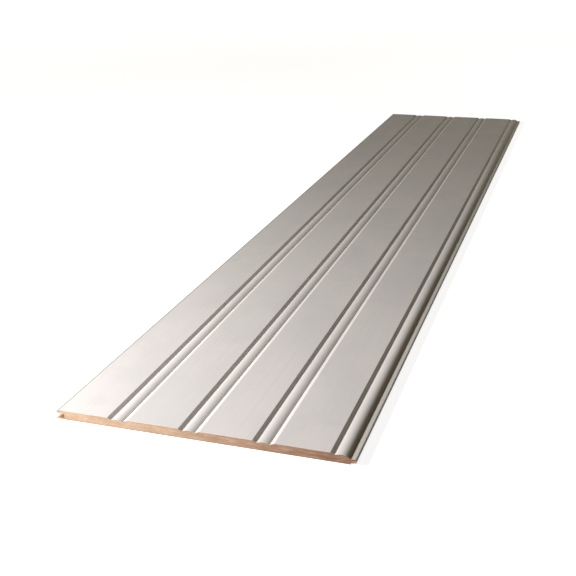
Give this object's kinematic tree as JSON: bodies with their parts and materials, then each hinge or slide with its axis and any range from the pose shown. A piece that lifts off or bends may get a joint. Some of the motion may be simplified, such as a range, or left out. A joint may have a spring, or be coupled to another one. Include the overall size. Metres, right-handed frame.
{
  "type": "wainscot panel",
  "caption": "Primed fibreboard wainscot plank with evenly spaced beads between flats, a tongue along one long edge and a groove along the other.",
  "frame": {"origin": "on the back of the plank, under the middle of its bounding box, tongue included", "axes": "+Z out of the beaded face, +Y along the plank, +X across it towards the tongue"},
  "size_m": [0.207, 1.0668, 0.0063],
  "materials": {
    "primed_fibreboard": "off-white factory primer on the face, raw fibreboard on the ends and back"
  },
  "bodies": {
    "root": {"wainscot_panel": "primed_fibreboard"}
  },
  "joints": []
}
